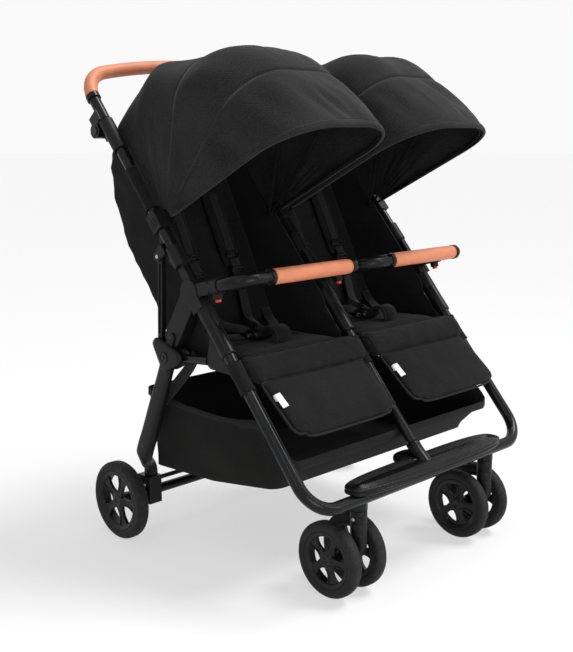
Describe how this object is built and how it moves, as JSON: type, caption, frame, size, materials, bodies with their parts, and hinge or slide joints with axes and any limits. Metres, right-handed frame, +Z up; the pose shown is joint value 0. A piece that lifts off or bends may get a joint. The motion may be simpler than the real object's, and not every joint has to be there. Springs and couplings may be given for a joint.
{
  "type": "side by side double stroller",
  "caption": "Folding twin stroller: tube frame, padded reclining seats side by side, bow canopies, bumper bars, hung basket, swivel casters in front, fixed rear wheels.",
  "frame": {"origin": "centre of the footprint box, on the floor under the wheels", "axes": "+Z up, the front and the seats face -Y, +X to the right of the front view"},
  "size_m": [0.759, 0.7789, 1.0639],
  "materials": {
    "tube": "gloss black lacquer",
    "moulding": "fine satin",
    "gloss": "gloss",
    "button": "satin",
    "release": "gloss",
    "grip": "smooth grained leather look",
    "bow": "plain",
    "canopy_fabric": "woven",
    "seat_fabric": "woven, padded",
    "basket_fabric": "coarse woven",
    "rim": "satin",
    "tyre": "matte rubber"
  },
  "bodies": {
    "chassis": {"front_frame": "tube", "frame_joints": "moulding", "hub_covers": "moulding", "seat_frame": "tube", "footrest": "gloss", "basket": "basket_fabric", "seat_left": "seat_fabric", "seat_right": "seat_fabric", "seat_shell_left": "seat_fabric", "seat_shell_right": "seat_fabric", "buckle_left": "moulding", "buckle_right": "moulding"},
    "upper_frame": {"upper_tubes": "tube", "upper_knuckles": "moulding", "canopy_cloth_left": "canopy_fabric", "canopy_cloth_right": "canopy_fabric"},
    "handle": {"handle_tube": "tube", "handle_grip": "grip"},
    "rear_frame": {"rear_legs": "tube", "rear_axle": "moulding"},
    "brake": {"brake_pedal": "moulding"},
    "release_centre": {"release_centre": "release"},
    "strut_left": {"strut_left": "moulding"},
    "handle_button_left": {"handle_button_left": "button"},
    "canopy_mid_left": {"canopy_mid_left": "bow"},
    "canopy_front_left": {"canopy_front_left": "bow"},
    "canopy_rim_left": {"canopy_rim_left": "bow"},
    "backrest_left": {"backrest_left": "seat_fabric", "straps_left": "seat_fabric"},
    "calf_left": {"calf_left": "seat_fabric"},
    "bumper_left": {"bumper_left": "moulding", "bumper_grip_left": "grip"},
    "release_left": {"release_left": "release"},
    "buckle_button_left": {"buckle_button_left": "button"},
    "rear_wheel_left": {"rear_rim_left": "rim", "rear_tyre_left": "tyre"},
    "caster_left": {"caster_left": "moulding"},
    "front_wheel_ll": {"front_rim_ll": "rim", "front_tyre_ll": "tyre"},
    "front_wheel_lr": {"front_rim_lr": "rim", "front_tyre_lr": "tyre"},
    "strut_right": {"strut_right": "moulding"},
    "handle_button_right": {"handle_button_right": "button"},
    "canopy_mid_right": {"canopy_mid_right": "bow"},
    "canopy_front_right": {"canopy_front_right": "bow"},
    "canopy_rim_right": {"canopy_rim_right": "bow"},
    "backrest_right": {"backrest_right": "seat_fabric", "straps_right": "seat_fabric"},
    "calf_right": {"calf_right": "seat_fabric"},
    "bumper_right": {"bumper_right": "moulding", "bumper_grip_right": "grip"},
    "release_right": {"release_right": "release"},
    "buckle_button_right": {"buckle_button_right": "button"},
    "rear_wheel_right": {"rear_rim_right": "rim", "rear_tyre_right": "tyre"},
    "caster_right": {"caster_right": "moulding"},
    "front_wheel_rl": {"front_rim_rl": "rim", "front_tyre_rl": "tyre"},
    "front_wheel_rr": {"front_rim_rr": "rim", "front_tyre_rr": "tyre"}
  },
  "joints": [
    {"name": "handle_fold", "type": "hinge", "parent": "chassis", "child": "upper_frame", "pos_m": [0, -0.02651, 0.586], "axis": [1, 0, 0], "range_deg": [0, 75]},
    {"name": "rear_fold", "type": "hinge", "parent": "chassis", "child": "rear_frame", "pos_m": [0, 0.06149, 0.44], "axis": [1, 0, 0], "range_deg": [-42.5, 0]},
    {"name": "handle_hinge", "type": "hinge", "parent": "upper_frame", "child": "handle", "pos_m": [0, 0.28218, 0.89808], "axis": [-1, 0, 0], "range_deg": [0, 130]},
    {"name": "brake", "type": "hinge", "parent": "rear_frame", "child": "brake", "pos_m": [0, 0.21549, 0.116], "axis": [-1, 0, 0], "range_deg": [0, 20]},
    {"name": "release_centre", "type": "slide", "parent": "chassis", "child": "release_centre", "axis": [0, 0.2419, 0.9703], "range_m": [0, 0.004], "stiffness_N_per_m": 600, "springref_m": -0.002},
    {"name": "strut_left", "type": "hinge", "parent": "chassis", "child": "strut_left", "pos_m": [-0.347, 0.08249, 0.466], "axis": [1, 0, 0], "range_deg": [0, 20.5]},
    {"name": "handle_button_left", "type": "slide", "parent": "handle", "child": "handle_button_left", "axis": [1, 0, 0], "range_m": [0, 0.0025], "stiffness_N_per_m": 600, "springref_m": -0.002},
    {"name": "canopy_left", "type": "hinge", "parent": "upper_frame", "child": "canopy_mid_left", "pos_m": [-0.1725, 0.0861, 0.71601], "axis": [-1, 0, 0], "range_deg": [0, 40], "deforming": ["canopy_cloth_left"]},
    {"name": "canopy_front_left", "type": "hinge", "parent": "canopy_mid_left", "child": "canopy_front_left", "pos_m": [-0.1725, 0.0861, 0.71601], "axis": [-1, 0, 0], "range_deg": [0, 26.5]},
    {"name": "canopy_rim_left", "type": "hinge", "parent": "canopy_front_left", "child": "canopy_rim_left", "pos_m": [-0.1725, 0.0861, 0.71601], "axis": [-1, 0, 0], "range_deg": [0, 20.5]},
    {"name": "recline_left", "type": "hinge", "parent": "chassis", "child": "backrest_left", "pos_m": [-0.173, 0.07149, 0.455], "axis": [-1, 0, 0], "range_deg": [0, 35], "deforming": ["seat_shell_left"]},
    {"name": "calf_left", "type": "hinge", "parent": "chassis", "child": "calf_left", "pos_m": [-0.173, -0.19051, 0.424], "axis": [1, 0, 0], "range_deg": [-40, 12]},
    {"name": "bumper_left", "type": "slide", "parent": "chassis", "child": "bumper_left", "axis": [0, -0.9703, 0.2419], "range_m": [0, 0.055]},
    {"name": "release_left", "type": "slide", "parent": "chassis", "child": "release_left", "axis": [0, 0.2419, 0.9703], "range_m": [0, 0.004], "stiffness_N_per_m": 600, "springref_m": -0.002},
    {"name": "buckle_button_left", "type": "slide", "parent": "chassis", "child": "buckle_button_left", "axis": [0, 0, -1], "range_m": [0, 0.002], "stiffness_N_per_m": 600, "springref_m": -0.002},
    {"name": "rear_wheel_left", "type": "hinge", "parent": "rear_frame", "child": "rear_wheel_left", "pos_m": [-0.365, 0.22149, 0.0875], "axis": [1, 0, 0], "continuous": true},
    {"name": "caster_left", "type": "hinge", "parent": "chassis", "child": "caster_left", "pos_m": [-0.212, -0.34851, 0.15], "axis": [0, 0, 1], "continuous": true},
    {"name": "front_wheel_ll", "type": "hinge", "parent": "caster_left", "child": "front_wheel_ll", "pos_m": [-0.2485, -0.30651, 0.077], "axis": [1, 0, 0], "continuous": true},
    {"name": "front_wheel_lr", "type": "hinge", "parent": "caster_left", "child": "front_wheel_lr", "pos_m": [-0.1755, -0.30651, 0.077], "axis": [1, 0, 0], "continuous": true},
    {"name": "strut_right", "type": "hinge", "parent": "chassis", "child": "strut_right", "pos_m": [0.347, 0.08249, 0.466], "axis": [1, 0, 0], "range_deg": [0, 20.5]},
    {"name": "handle_button_right", "type": "slide", "parent": "handle", "child": "handle_button_right", "axis": [-1, 0, 0], "range_m": [0, 0.0025], "stiffness_N_per_m": 600, "springref_m": -0.002},
    {"name": "canopy_right", "type": "hinge", "parent": "upper_frame", "child": "canopy_mid_right", "pos_m": [0.1725, 0.0861, 0.71601], "axis": [-1, 0, 0], "range_deg": [0, 40], "deforming": ["canopy_cloth_right"]},
    {"name": "canopy_front_right", "type": "hinge", "parent": "canopy_mid_right", "child": "canopy_front_right", "pos_m": [0.1725, 0.0861, 0.71601], "axis": [-1, 0, 0], "range_deg": [0, 26.5]},
    {"name": "canopy_rim_right", "type": "hinge", "parent": "canopy_front_right", "child": "canopy_rim_right", "pos_m": [0.1725, 0.0861, 0.71601], "axis": [-1, 0, 0], "range_deg": [0, 20.5]},
    {"name": "recline_right", "type": "hinge", "parent": "chassis", "child": "backrest_right", "pos_m": [0.173, 0.07149, 0.455], "axis": [-1, 0, 0], "range_deg": [0, 35], "deforming": ["seat_shell_right"]},
    {"name": "calf_right", "type": "hinge", "parent": "chassis", "child": "calf_right", "pos_m": [0.173, -0.19051, 0.424], "axis": [1, 0, 0], "range_deg": [-40, 12]},
    {"name": "bumper_right", "type": "slide", "parent": "chassis", "child": "bumper_right", "axis": [0, -0.9703, 0.2419], "range_m": [0, 0.055]},
    {"name": "release_right", "type": "slide", "parent": "chassis", "child": "release_right", "axis": [0, 0.2419, 0.9703], "range_m": [0, 0.004], "stiffness_N_per_m": 600, "springref_m": -0.002},
    {"name": "buckle_button_right", "type": "slide", "parent": "chassis", "child": "buckle_button_right", "axis": [0, 0, -1], "range_m": [0, 0.002], "stiffness_N_per_m": 600, "springref_m": -0.002},
    {"name": "rear_wheel_right", "type": "hinge", "parent": "rear_frame", "child": "rear_wheel_right", "pos_m": [0.365, 0.22149, 0.0875], "axis": [1, 0, 0], "continuous": true},
    {"name": "caster_right", "type": "hinge", "parent": "chassis", "child": "caster_right", "pos_m": [0.212, -0.34851, 0.15], "axis": [0, 0, 1], "continuous": true},
    {"name": "front_wheel_rl", "type": "hinge", "parent": "caster_right", "child": "front_wheel_rl", "pos_m": [0.1755, -0.30651, 0.077], "axis": [1, 0, 0], "continuous": true},
    {"name": "front_wheel_rr", "type": "hinge", "parent": "caster_right", "child": "front_wheel_rr", "pos_m": [0.2485, -0.30651, 0.077], "axis": [1, 0, 0], "continuous": true}
  ],
  "couplings": [
    {"joint": "rear_fold", "follows": "handle_fold", "ratio": -0.56},
    {"joint": "strut_left", "follows": "handle_fold", "ratio": 0.2667},
    {"joint": "canopy_front_left", "follows": "canopy_left", "ratio": 0.65},
    {"joint": "canopy_rim_left", "follows": "canopy_left", "ratio": 0.5},
    {"joint": "strut_right", "follows": "handle_fold", "ratio": 0.2667},
    {"joint": "canopy_front_right", "follows": "canopy_right", "ratio": 0.65},
    {"joint": "canopy_rim_right", "follows": "canopy_right", "ratio": 0.5}
  ]
}
